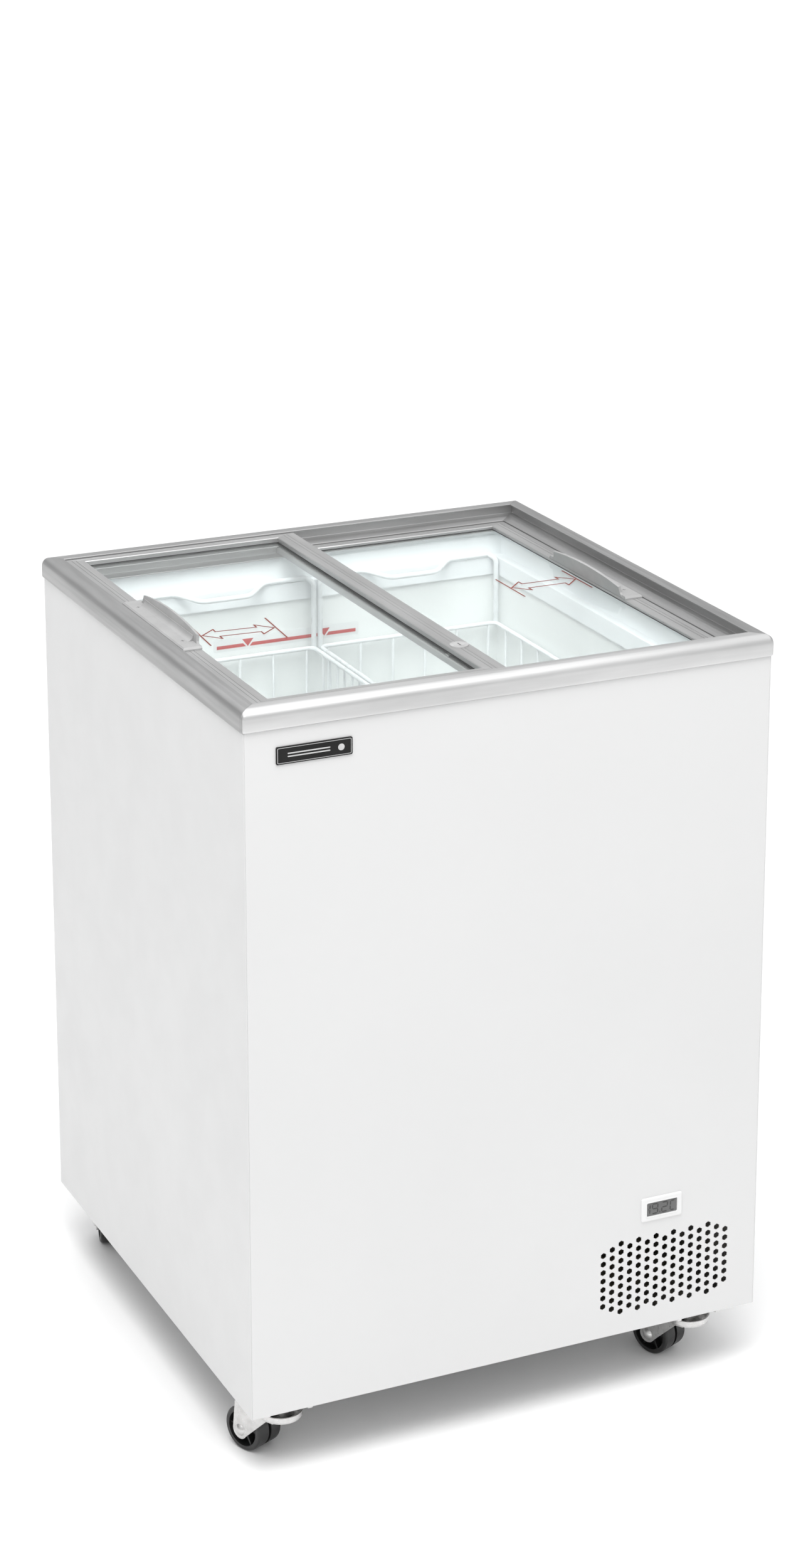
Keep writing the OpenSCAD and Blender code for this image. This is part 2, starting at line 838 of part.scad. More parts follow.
// The cage: four flat wire mats for the walls and one for the floor
module basket_cage(cx) {
    hx = basket_w / 2;
    hy = basket_d / 2;
    low = rim_z - basket_h;
    band = basket_h / cage_bands;
    gap = thin_wire / 2 + eps;
    rim_t = 5;
    color("white") translate([cx, 0, 0]) {
        for (s = [-1, 1]) {
            for (i = [0 : cage_wires - 1])
                bar([(i - (cage_wires - 1) / 2) * cage_pitch, s * hy, low + 2 * gap],
                    [(i - (cage_wires - 1) / 2) * cage_pitch, s * hy, rim_z], thin_wire);
            for (k = [0 : cage_bands - 1])
                bar([-hx + 2 * gap, s * hy, low + 2 * gap + k * band],
                    [hx - 2 * gap, s * hy, low + 2 * gap + k * band], thin_wire);
            bar([-hx + rim_t + eps, s * hy, rim_z], [hx - rim_t - eps, s * hy, rim_z], rim_t);
            for (i = [0 : side_wires - 1])
                bar([s * hx, (i - (side_wires - 1) / 2) * side_pitch, low + 2 * gap],
                    [s * hx, (i - (side_wires - 1) / 2) * side_pitch, rim_z], thin_wire);
            for (k = [0 : cage_bands - 1])
                bar([s * hx, -hy, low + 2 * gap + k * band], [s * hx, hy, low + 2 * gap + k * band],
                    thin_wire);
            bar([s * hx, -hy, rim_z], [s * hx, hy, rim_z], rim_t);
        }
        for (i = [0 : cage_wires - 1])
            bar([(i - (cage_wires - 1) / 2) * cage_pitch, -hy, low],
                [(i - (cage_wires - 1) / 2) * cage_pitch, hy, low], thin_wire);
        for (i = [0 : side_wires - 1])
            bar([-hx, (i - (side_wires - 1) / 2) * side_pitch, low],
                [hx, (i - (side_wires - 1) / 2) * side_pitch, low], thin_wire);
    }
}

// Round wire through a list of points, with a small ball at each bend
module wire(points, r) {
    last = len(points) - 1;
    for (i = [0 : last - 1]) {
        d = (points[i + 1] - points[i]) / norm(points[i + 1] - points[i]);
        start = i == 0 ? 0 : ball_cut;
        end = i == last - 1 ? 0 : ball_cut;
        translate(points[i] + start * d)
            rotate([0, acos(d[2]), atan2(d[1], d[0])])
                cylinder(r = r, h = norm(points[i + 1] - points[i]) - start - end);
    }
    for (i = [1 : last - 1])
        translate(points[i]) sphere(r = ball_r);
}

// The two hanging wires: each rests on the ledge, dips for the fingers and drops to the rim
module basket_hangers(cx) {
    r = thick_wire / 2;
    hx = basket_w / 2;
    leg_y = basket_d / 2;
    leg_low = rim_z + 2.5 + eps;
    for (s = [-1, 1])
        color("white") translate([cx, 0, 0])
            wire([[-hx, s * leg_y, leg_low], [-hx, s * leg_y, hanger_z - hanger_rise],
                [-hx + hanger_in, s * hanger_y, hanger_z], [-52, s * hanger_y, hanger_z],
                [-28, s * grip_y, hanger_z - grip_drop], [28, s * grip_y, hanger_z - grip_drop],
                [52, s * hanger_y, hanger_z], [hx - hanger_in, s * hanger_y, hanger_z],
                [hx, s * leg_y, hanger_z - hanger_rise], [hx, s * leg_y, leg_low]], r);
}

module basket_left_cage() {
    basket_cage(basket_left_x);
}

module basket_left_hangers() {
    mirror([1, 0, 0]) basket_hangers(-basket_left_x);
}

module basket_right_cage() {
    basket_cage(basket_right_x);
}

module basket_right_hangers() {
    basket_hangers(basket_right_x);
}

// ---- Castors ----

// Fixed plates with the upper cup of each swivel
module castor_plates() {
    color(c_zinc)
        for (spot = castor_spots)
            translate([spot[0], spot[1], base_z]) difference() {
                union() {
                    translate([-castor_plate_x / 2, -castor_plate_y / 2, -castor_plate_t])
                        cube([castor_plate_x, castor_plate_y, castor_plate_t]);
                    translate([0, 0, -castor_plate_t - cup_h])
                        cylinder(r1 = cup_r - 3, r2 = cup_r, h = cup_h);
                }
                translate([0, 0, -castor_plate_t - cup_h - overshoot])
                    cylinder(r = king_r + run_gap, h = castor_plate_t + cup_h + 2);
            }
}

// Moves a shape made at the origin, with its wheel towards +X, to castor i
module at_castor(i) {
    translate([castor_spots[i][0], castor_spots[i][1], 0]) rotate(castor_spots[i][2]) children();
}

// Swivel head and fork: a dish under the cup, a web over the wheel and two legs
module castor_fork() {
    cup_low = base_z - castor_plate_t - cup_h;
    web_z = dish_top - 3;
    color(c_zinc) difference() {
        union() {
            rotate_extrude() polygon([[0, dish_low], [dish_r - 3, dish_low], [dish_r - 0.8, dish_low + 1],
                [dish_r, dish_low + 3], [dish_r, dish_top], [dish_r - 1.6, dish_top],
                [dish_r - 1.6, dish_low + 4.5], [dish_r - 5, dish_low + 3], [0, dish_low + 3]]);
            cylinder_z(king_r, dish_low, base_z - 0.5);
            translate([0, -fork_in - fork_t, web_z]) cube([castor_trail + 7, 2 * (fork_in + fork_t), fork_t]);
            for (s = [-1, 1])
                translate([0, s > 0 ? fork_in + fork_t : -fork_in, 0]) rotate([90, 0, 0])
                    linear_extrude(fork_t) {
                        polygon([[-8, dish_low], [-8, dish_low + 2], [8, dish_low + 6], [18, web_z + 2],
                            [castor_trail + 7, web_z + 2], [castor_trail + 10, axle_z],
                            [castor_trail - 4.6, axle_z - 8.9], [2, dish_low - 1]]);
                        translate([castor_trail, axle_z]) circle(r = 10);
                    }
        }
        translate([0, 0, cup_low - 0.6]) difference() {
            cylinder(r = dish_r - 1.6, h = 30);
            translate([0, 0, -overshoot]) cylinder(r = king_r, h = 32);
        }
        translate([castor_trail, fork_in + fork_t + overshoot, axle_z]) rotate([90, 0, 0])
            cylinder(r = axle_r, h = 2 * (fork_in + fork_t + overshoot));
    }
}

// An upright cylinder between two levels
module cylinder_z(r, z0, z1) {
    translate([0, 0, z0]) cylinder(r = r, h = z1 - z0);
}

// Riveted axle with domed heads
module castor_axle() {
    half = fork_in + fork_t;
    head_r = 6.5;
    dome_r = 8;
    dome_h = dome_r - sqrt(dome_r * dome_r - head_r * head_r);
    color("#d6d8d9") translate([castor_trail, 0, axle_z]) rotate([90, 0, 0]) {
        translate([0, 0, -half]) cylinder(r = axle_r, h = 2 * half);
        for (s = [-1, 1])
            intersection() {
                translate([0, 0, s * (half + dome_h - dome_r)]) sphere(r = dome_r);
                translate([0, 0, s > 0 ? half : -half - dome_h - overshoot])
                    cylinder(r = head_r, h = dome_h + overshoot);
            }
    }
}

// Plastic wheel with two treads, a groove between them, and a dished face with ribs
module castor_wheel() {
    r = wheel_d / 2;
    w = wheel_w / 2;
    edge = 2.5;
    groove = 1.8;
    groove_r = r - 7;
    rim_r = r - 5;
    hub_r = 8.5;
    web = 6;
    color(c_dark) translate([castor_trail, 0, axle_z]) rotate([90, 0, 0]) difference() {
        union() {
            rotate_extrude() union() {
                for (s = [-1, 1]) {
                    translate([rim_r, s > 0 ? groove : -w + edge]) square([r - rim_r, w - groove - edge]);
                    translate([rim_r - 0.5, s > 0 ? w - edge - eps : -w]) square([3, edge + eps]);
                    translate([r - edge, s * (w - edge)]) circle(r = edge);
                }
                translate([axle_r + 0.05, -groove]) square([groove_r - axle_r, 2 * groove]);
                translate([axle_r + 0.05, -web]) square([rim_r - axle_r, 2 * web]);
                translate([axle_r + 0.05, -w]) square([hub_r - axle_r, 2 * w]);
            }
            for (a = [0 : 60 : 300])
                rotate(a) translate([hub_r - 1, -1, -w + 3]) cube([rim_r - hub_r + 2, 2, 2 * w - 6]);
        }
        difference() {
            translate([0, 0, -groove]) cylinder(r = r + 2, h = 2 * groove);
            translate([0, 0, -groove - overshoot]) cylinder(r = groove_r, h = 2 * groove + 2);
        }
        translate([0, 0, -w - overshoot]) cylinder(r = axle_r + 0.08, h = 2 * w + 2);
    }
}

module castor_fl_fork() {
    at_castor(0) castor_fork();
}

module castor_fr_fork() {
    at_castor(1) castor_fork();
}

module castor_bl_fork() {
    at_castor(2) castor_fork();
}

module castor_br_fork() {
    at_castor(3) castor_fork();
}

module castor_fl_axle() {
    at_castor(0) castor_axle();
}

module castor_fr_axle() {
    at_castor(1) castor_axle();
}

module castor_bl_axle() {
    at_castor(2) castor_axle();
}

module castor_br_axle() {
    at_castor(3) castor_axle();
}

module castor_fl_wheel() {
    at_castor(0) castor_wheel();
}

module castor_fr_wheel() {
    at_castor(1) castor_wheel();
}

module castor_bl_wheel() {
    at_castor(2) castor_wheel();
}

module castor_br_wheel() {
    at_castor(3) castor_wheel();
}

front_panel();
left_panel();
right_panel();
back_panel();
base_plate();
insulation_foam();
inner_liner();
liner_collar();
frame_front();
frame_back();
frame_left();
frame_right();
badge_plate();
thermometer_bezel();
thermometer_display();
load_line_sticker();
compressor();
compressor_mounts();
filter_drier();
condenser_coil();
evaporator_coil();
cord_gland();
thermostat_body();
thermostat_knob();
rear_grille();
screws();
castor_plates();
lid_left_glass();
lid_left_rails();
lid_left_outer_stile();
lid_left_centre_stile();
lid_left_handle();
lid_left_handle_screws();
lid_left_slide_mark();
lock_barrel();
lock_plug();
lock_cam();
lid_right_glass();
lid_right_rails();
lid_right_outer_stile();
lid_right_inner_stile();
lid_right_handle();
lid_right_handle_screws();
lid_right_slide_mark();
basket_left_cage();
basket_left_hangers();
basket_right_cage();
basket_right_hangers();
castor_fl_fork();
castor_fr_fork();
castor_bl_fork();
castor_br_fork();
castor_fl_axle();
castor_fr_axle();
castor_bl_axle();
castor_br_axle();
castor_fl_wheel();
castor_fr_wheel();
castor_bl_wheel();
castor_br_wheel();
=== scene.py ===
import math

import bmesh
import bpy
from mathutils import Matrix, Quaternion, Vector


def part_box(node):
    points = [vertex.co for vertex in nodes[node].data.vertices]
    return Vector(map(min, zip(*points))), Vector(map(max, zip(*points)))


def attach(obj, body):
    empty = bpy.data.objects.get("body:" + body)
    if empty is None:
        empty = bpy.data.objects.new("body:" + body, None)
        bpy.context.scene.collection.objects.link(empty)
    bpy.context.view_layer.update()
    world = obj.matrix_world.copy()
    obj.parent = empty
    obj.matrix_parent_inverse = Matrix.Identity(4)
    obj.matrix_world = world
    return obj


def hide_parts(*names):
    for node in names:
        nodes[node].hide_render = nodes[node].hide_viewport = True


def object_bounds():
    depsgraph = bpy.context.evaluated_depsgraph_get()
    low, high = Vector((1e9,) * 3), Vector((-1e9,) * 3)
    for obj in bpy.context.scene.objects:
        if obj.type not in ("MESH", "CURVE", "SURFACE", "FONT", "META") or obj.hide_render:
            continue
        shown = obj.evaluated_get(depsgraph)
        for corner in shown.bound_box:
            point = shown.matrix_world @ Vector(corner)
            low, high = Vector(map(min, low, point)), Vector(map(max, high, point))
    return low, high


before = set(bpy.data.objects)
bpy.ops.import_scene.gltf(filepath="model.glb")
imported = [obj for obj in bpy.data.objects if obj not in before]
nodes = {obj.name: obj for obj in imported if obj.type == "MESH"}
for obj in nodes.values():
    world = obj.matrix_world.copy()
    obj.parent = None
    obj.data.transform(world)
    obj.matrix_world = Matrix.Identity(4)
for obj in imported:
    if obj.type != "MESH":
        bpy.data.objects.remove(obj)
cad_low, cad_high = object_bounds()
MM = 0.001
CORNER_SIGNS = ((-1, -1), (1, -1), (1, 1), (-1, 1))


def mm(*values):
    """A point or a length given in millimetres."""
    return Vector(values) * MM if len(values) > 1 else values[0] * MM


# ---- Camera, light and floor ----

CAMERA_AT = mm(-1480, -3242, 1918)
CAMERA_YAW = math.radians(24.75)
CAMERA_DOWN = math.radians(14.66)
CAMERA_LENS = 78.15
CAMERA_SHIFT_Y = -0.2
CAMERA_SENSOR = 36
CAMERA_CLIP = (0.05, 300)

# Name, azimuth and elevation in degrees, strength, softness in degrees, colour
SUNS = (("key", -35, 66, 0.7, 30, (1.0, 0.995, 0.985)),
        ("back", 175, 50, 0.3, 60, (0.985, 0.99, 1.0)))
SOFT_BOX_AT = Vector((-0.35, -0.7, 1.6))  # from the middle of the cabinet's top
SOFT_BOX_SIZE = 1.4
SOFT_BOX_POWER = 26
FLOOR_HALF = 60.0


def make_camera():
    data = bpy.data.cameras.new("camera")
    data.sensor_width = CAMERA_SENSOR
    data.lens = CAMERA_LENS
    data.shift_y = CAMERA_SHIFT_Y
    data.clip_start, data.clip_end = CAMERA_CLIP
    camera = bpy.data.objects.new("camera", data)
    bpy.context.collection.objects.link(camera)
    camera.location = CAMERA_AT
    ahead = Vector((math.sin(CAMERA_YAW) * math.cos(CAMERA_DOWN),
                    math.cos(CAMERA_YAW) * math.cos(CAMERA_DOWN), -math.sin(CAMERA_DOWN)))
    camera.rotation_mode = "QUATERNION"
    camera.rotation_quaternion = ahead.to_track_quat("-Z", "Y")
    bpy.context.scene.camera = camera


def make_sun(name, azimuth, elevation, strength, softness, colour):
    """A soft lamp far away. Azimuth 0 shines from the front and 90 from the right."""
    data = bpy.data.lights.new(name, "SUN")
    data.energy = strength
    data.angle = math.radians(softness)
    data.color = colour
    lamp = bpy.data.objects.new(name, data)
    bpy.context.collection.objects.link(lamp)
    a, e = math.radians(azimuth), math.radians(elevation)
    back = Vector((math.sin(a) * math.cos(e), -math.cos(a) * math.cos(e), math.sin(e)))
    lamp.rotation_mode = "QUATERNION"
    lamp.rotation_quaternion = (-back).to_track_quat("-Z", "Y")


def make_soft_box(towards):
    """A square soft box that looks down at the lids, and through them into the well."""
    at = towards + SOFT_BOX_AT
    data = bpy.data.lights.new("top", "AREA")
    data.shape = "SQUARE"
    data.size = SOFT_BOX_SIZE
    data.energy = SOFT_BOX_POWER
    lamp = bpy.data.objects.new("top", data)
    bpy.context.collection.objects.link(lamp)
    lamp.location = at
    lamp.rotation_mode = "QUATERNION"
    lamp.rotation_quaternion = (towards - at).to_track_quat("-Z", "Y")


# Brightness of the studio against the height of the direction, on the back side and the front side
SKY_BACK = ((0.0, 1.0), (0.1, 0.47), (0.42, 0.45), (0.7, 0.8), (1.0, 1.3))
SKY_FRONT = ((0.0, 1.0), (0.1, 0.56), (0.45, 0.9), (0.8, 1.3), (1.0, 1.3))
SKY_TINT = (0.995, 0.998, 1.0)
# Y of the direction, where the back side begins to fade and where the front side is full
SKY_FADE = (0.3, -0.4)


def make_world():
    world = bpy.data.worlds.new("studio")
    bpy.context.scene.world = world
    world.use_nodes = True
    tree = world.node_tree
    link = tree.links.new
    coordinates = tree.nodes.new("ShaderNodeTexCoord")
    split = tree.nodes.new("ShaderNodeSeparateXYZ")
    link(coordinates.outputs["Generated"], split.inputs[0])
    sides = []
    for steps in (SKY_BACK, SKY_FRONT):
        ramp = tree.nodes.new("ShaderNodeValToRGB")
        elements = ramp.color_ramp.elements
        for i, (at, bright) in enumerate(steps):
            element = elements[i] if i < 2 else elements.new(at)
            element.position = at
            element.color = (*(bright * share for share in SKY_TINT), 1)
        link(split.outputs["Z"], ramp.inputs["Fac"])
        sides.append(ramp.outputs["Color"])
    turn = tree.nodes.new("ShaderNodeMapRange")
    turn.inputs["From Min"].default_value, turn.inputs["From Max"].default_value = SKY_FADE
    link(split.outputs["Y"], turn.inputs["Value"])
    mix = tree.nodes.new("ShaderNodeMixRGB")
    link(turn.outputs["Result"], mix.inputs["Fac"])
    link(sides[0], mix.inputs[1])
    link(sides[1], mix.inputs[2])
    link(mix.outputs[0], tree.nodes["Background"].inputs["Color"])


# ---- Materials ----

class Finish:
    """A Principled material whose colour, roughness and bump come from noise in the object's own space."""

    def __init__(self, name, **plain):
        self.material = bpy.data.materials.new(name)
        self.material.use_nodes = True
        self.tree = self.material.node_tree
        self.shader = self.tree.nodes["Principled BSDF"]
        for key, value in plain.items():
            socket = key.replace("_", " ").title().replace("Ior", "IOR")
            self.shader.inputs[socket].default_value = value
        self.height = None

    def node(self, kind):
        return self.tree.nodes.new(kind)

    def link(self, a, b):
        self.tree.links.new(a, b)

    def space(self, stretch):
        coordinates = self.node("ShaderNodeTexCoord")
        mapping = self.node("ShaderNodeMapping")
        mapping.inputs["Scale"].default_value = stretch
        self.link(coordinates.outputs["Object"], mapping.inputs["Vector"])
        return mapping.outputs["Vector"]

    def noise(self, stretch, detail=2.0):
        """Noise with about one bump per 1 / stretch metres along each axis."""
        if not isinstance(stretch, tuple):
            stretch = (stretch, stretch, stretch)
        noise = self.node("ShaderNodeTexNoise")
        noise.inputs["Scale"].default_value = 1.0
        noise.inputs["Detail"].default_value = detail
        self.link(self.space(stretch), noise.inputs["Vector"])
        return noise.outputs["Fac"]

    def cells(self, size):
        cells = self.node("ShaderNodeTexVoronoi")
        cells.inputs["Scale"].default_value = 1.0
        self.link(self.space((1 / size,) * 3), cells.inputs["Vector"])
        return cells

    def scaled(self, value, factor, added):
        """value * factor + added"""
        math_node = self.node("ShaderNodeMath")
        math_node.operation = "MULTIPLY_ADD"
        math_node.inputs[1].default_value = factor
        self.link(value, math_node.inputs[0])
        self.link(added, math_node.inputs[2])
        return math_node.outputs[0]

    def colour(self, value, low, high, start=0.35, end=0.65):
        ramp = self.node("ShaderNodeValToRGB")
        ramp.color_ramp.elements[0].position = start
        ramp.color_ramp.elements[0].color = (*low, 1)
        ramp.color_ramp.elements[1].position = end
        ramp.color_ramp.elements[1].color = (*high, 1)
        self.link(value, ramp.inputs["Fac"])
        self.link(ramp.outputs["Color"], self.shader.inputs["Base Color"])
        return self

    def rough(self, value, low, high, start=0.35, end=0.65):
        spread = self.node("ShaderNodeMapRange")
        spread.inputs["From Min"].default_value = start
        spread.inputs["From Max"].default_value = end
        spread.inputs["To Min"].default_value = low
        spread.inputs["To Max"].default_value = high
        self.link(value, spread.inputs["Value"])
        self.link(spread.outputs["Result"], self.shader.inputs["Roughness"])
        return self

    def bump(self, value, depth, strength=1.0):
        bump = self.node("ShaderNodeBump")
        bump.inputs["Distance"].default_value = depth
        bump.inputs["Strength"].default_value = strength
        self.link(value, bump.inputs["Height"])
        if self.height is not None:
            self.link(self.height, bump.inputs["Normal"])
        self.height = bump.outputs["Normal"]
        self.link(self.height, self.shader.inputs["Normal"])
        return self


def grey(value, warm=0.0):
    return (value * (1 + warm), value, value * (1 - warm))


def along(axis, coarse, fine):
    """Stretch for noise in streaks that run along one axis."""
    return tuple(coarse if i == axis else fine for i in range(3))


def painted_sheet(name, value):
    f = Finish(name, specular_ior_level=0.45)
    f.colour(f.noise(3.5, 3), grey(value * 0.985), grey(value))
    f.rough(f.noise(25, 3), 0.34, 0.44)
    f.bump(f.noise(700, 1), 0.00002, 0.35)
    f.bump(f.noise(4, 1), 0.0004, 0.25)
    return f.material


def moulded(name, low, high, rough=(0.38, 0.5), grain=1400, depth=0.00002, **plain):
    f = Finish(name, **plain)
    f.colour(f.noise(30, 4), low, high)
    f.rough(f.noise(90, 3), *rough)
    f.bump(f.noise(grain, 2), depth, 0.5)
    return f.material


def liner_with_painted_shade(name):
    """White liner with painted shade: darker low down in the well and on its level faces, which point up.
    """
    f = Finish(name)
    position = f.node("ShaderNodeSeparateXYZ")
    f.link(f.space((1, 1, 1)), position.inputs[0])
    normal = f.node("ShaderNodeSeparateXYZ")
    f.link(f.node("ShaderNodeNewGeometry").outputs["Normal"], normal.inputs[0])
    # Painted shade: the colour rises with height in the well, plus a little noise, and drops on faces that
    # point up.
    height = f.scaled(f.noise(20, 4), 0.06, position.outputs["Z"])
    shade = f.scaled(normal.outputs["Z"], -0.5, height)
    f.colour(shade, (0.58, 0.61, 0.61), (0.945, 0.965, 0.96), 0.14, 0.66)
    f.rough(f.noise(90, 3), 0.42, 0.46)
    f.bump(f.noise(500, 2), 0.00001, 0.5)
    return f.material


def extruded(name, axis, low, high, metallic=0.9, lines=900):
    """Satin grey extrusion: die lines and cloudy streaks run along the bar."""
    f = Finish(name, metallic=metallic, specular_ior_level=0.5)
    f.colour(f.noise(along(axis, 7, 55), 4), grey(low), grey(high), 0.3, 0.7)
    f.rough(f.noise(along(axis, 3, 260), 3), 0.36, 0.5)
    f.bump(f.noise(along(axis, 1.5, lines), 2), 0.00003, 0.6)
    f.bump(f.noise(along(axis, 6, 40), 2), 0.0002, 0.3)
    return f.material


def metal(name, low, high, rough, grain, depth, spangle=0.0, warm=0.0, metallic=0.92):
    """Bare or plated metal. spangle is the size of its crystals, and 0 leaves them out."""
    f = Finish(name, metallic=metallic)
    pattern = f.cells(spangle).outputs["Color"] if spangle else f.noise(120, 4)
    f.colour(pattern, grey(low, warm), grey(high, warm), 0.2, 0.8)
    f.rough(f.noise(160, 3), *rough)
    f.bump(f.noise(grain, 3), depth, 0.6)
    return f.material


def clear_glass(name):
    """Float glass, which lamp rays pass straight through."""
    f = Finish(name, transmission_weight=1.0, ior=1.5, base_color=(0.965, 0.99, 0.985, 1))
    f.rough(f.noise(12, 2), 0.0, 0.004)
    f.bump(f.noise(3, 1), 0.00001, 0.1)
    path = f.node("ShaderNodeLightPath")
    clear = f.node("ShaderNodeBsdfTransparent")
    clear.inputs["Color"].default_value = (0.97, 0.985, 0.98, 1)
    mix = f.node("ShaderNodeMixShader")
    f.link(path.outputs["Is Shadow Ray"], mix.inputs["Fac"])
    f.link(f.shader.outputs["BSDF"], mix.inputs[1])
    f.link(clear.outputs["BSDF"], mix.inputs[2])
    f.link(mix.outputs["Shader"], f.tree.nodes["Material Output"].inputs["Surface"])
    return f.material


def make_materials():
    m = {}
    m["white_sheet"] = painted_sheet("white_sheet", 0.64)
    m["galvanised"] = metal("galvanised", 0.42, 0.62, (0.35, 0.5), 500, 0.00003, spangle=0.012)
    m["foam"] = moulded("foam", (0.62, 0.52, 0.30), (0.78, 0.70, 0.46), (0.8, 0.95), 300, 0.0004)
    # The liner's colour holds painted shade: darker low in the well and on faces that point up.
    m["liner"] = liner_with_painted_shade("liner")
    m["collar"] = moulded("collar", (0.93, 0.955, 0.97), (0.94, 0.965, 0.98), (0.42, 0.46), 600, 0.00001)
    # Lit and shaded copies of one grey extrusion: the front bar is painted lighter (painted light), and
    # the back and side bars darker (painted shade).
    m["frame_front"] = extruded("frame_grey_front_painted_light", 0, 0.54, 0.64)
    m["frame_back"] = extruded("frame_grey_back_painted_shade", 0, 0.39, 0.48)
    m["frame_side_painted_shade"] = extruded("frame_grey_side_painted_shade", 1, 0.35, 0.44)
    m["lid_x"] = extruded("lid_grey_x", 0, 0.42, 0.50, 0.8, 1500)
    m["lid_y"] = extruded("lid_grey_y", 1, 0.42, 0.50, 0.8, 1500)
    m["handle_grey"] = moulded("handle_grey", grey(0.31), grey(0.35), (0.3, 0.42), 1600, 0.00002)
    m["black_plate"] = moulded("black_plate", grey(0.004), grey(0.008), (0.28, 0.38), 400, 0.00001,
                              specular_ior_level=0.25)
    m["silver_print"] = metal("silver_print", 0.50, 0.62, (0.3, 0.4), 900, 0.00001)
    m["white_plastic"] = moulded("white_plastic", grey(0.70), grey(0.73), (0.3, 0.4), 900, 0.00001)
    m["display"] = moulded("display", grey(0.10), grey(0.125), (0.12, 0.2), 1200, 0.00001)
    m["digits"] = moulded("digits", grey(0.022), grey(0.03), (0.3, 0.4), 1200, 0.00001)
    m["red_print"] = moulded("red_print", (0.50, 0.012, 0.008), (0.56, 0.018, 0.012), (0.5, 0.6))
    m["label"] = moulded("label", (0.83, 0.85, 0.85), (0.88, 0.90, 0.90), (0.35, 0.45), 600, 0.00001)
    m["brown_print"] = moulded("brown_print", (0.18, 0.032, 0.02), (0.21, 0.038, 0.024), (0.5, 0.6))
    m["black_enamel"] = moulded("black_enamel", grey(0.008), grey(0.015), (0.18, 0.3), 200, 0.0001)
    m["rubber"] = moulded("rubber", grey(0.012), grey(0.022), (0.6, 0.75), 500, 0.00006)
    m["copper"] = metal("copper", 0.46, 0.60, (0.25, 0.42), 300, 0.00004, warm=0.55)
    m["tube_metal"] = metal("tube_metal", 0.55, 0.68, (0.3, 0.42), 400, 0.00003)
    m["black_plastic"] = moulded("black_plastic", grey(0.014), grey(0.024), (0.4, 0.5), 1100, 0.00003)
    m["zinc"] = metal("zinc", 0.50, 0.66, (0.22, 0.38), 600, 0.00002, warm=0.01)
    m["nickel"] = metal("nickel", 0.54, 0.63, (0.3, 0.42), 600, 0.00002, metallic=0.6)
    m["lid_glass"] = clear_glass("lid_glass")
    m["white_wire"] = moulded("white_wire", (0.86, 0.885, 0.90), (0.90, 0.92, 0.93), (0.25, 0.35),
                              900, 0.00003)
    m["wheel_black"] = moulded("wheel_black", grey(0.012), grey(0.022), (0.32, 0.45), 900, 0.00003)
    return m


def make_floor():
    f = Finish("floor")
    f.colour(f.noise(0.6, 3), grey(0.92), grey(0.94))
    f.rough(f.noise(8, 2), 0.55, 0.65)
    f.bump(f.noise(150, 2), 0.00005, 0.2)
    mesh = bpy.data.meshes.new("floor")
    corners = [(sx * FLOOR_HALF, sy * FLOOR_HALF, 0) for sx, sy in CORNER_SIGNS]
    mesh.from_pydata(corners, [], [(0, 1, 2, 3)])
    mesh.materials.append(f.material)
    floor = bpy.data.objects.new("floor", mesh)
    bpy.context.collection.objects.link(floor)


# ---- Mesh helpers ----

def make_piece(name, bm, material, body, stands_for=(), sharp=35):
    """Turns a bmesh into a piece of the model that rides on a CAD body."""
    bmesh.ops.remove_doubles(bm, verts=bm.verts, dist=1e-7)
    bmesh.ops.dissolve_degenerate(bm, edges=bm.edges, dist=1e-7)
    bmesh.ops.recalc_face_normals(bm, faces=bm.faces)
    mesh = bpy.data.meshes.new(name)
    bm.to_mesh(mesh)
    bm.free()
    mesh.polygons.foreach_set("use_smooth", [True] * len(mesh.polygons))
    mesh.set_sharp_from_angle(angle=math.radians(sharp))
    mesh.materials.append(material)
    made = bpy.data.objects.new(name, mesh)
    bpy.context.collection.objects.link(made)
    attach(made, body)
    if stands_for:
        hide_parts(*stands_for)
    return made


def rounded(points, radii, steps=5, closed=False):
    """A path with each corner turned into an arc of its own radius."""
    path = []
    last = len(points) - 1
    for i, (point, r) in enumerate(zip(points, radii)):
        if r <= 0 or (not closed and i in (0, last)):
            path.append(point.copy())
            continue
        before = (points[i - 1] - point).normalized()
        after = (points[(i + 1) % len(points)] - point).normalized()
        half = before.angle(after) / 2
        centre = point + (before + after).normalized() * (r / math.sin(half))
        start = point + before * (r / math.tan(half)) - centre
        axis = before.cross(after).normalized() * -1
        for k in range(steps + 1):
            path.append(centre + Quaternion(axis, (math.pi - 2 * half) * k / steps) @ start)
    return path


def bridge(bm, a, b, closed=True):
    n = len(a)
    for k in range(n if closed else n - 1):
        j = (k + 1) % n
        bm.faces.new((a[k], a[j], b[j], b[k]))


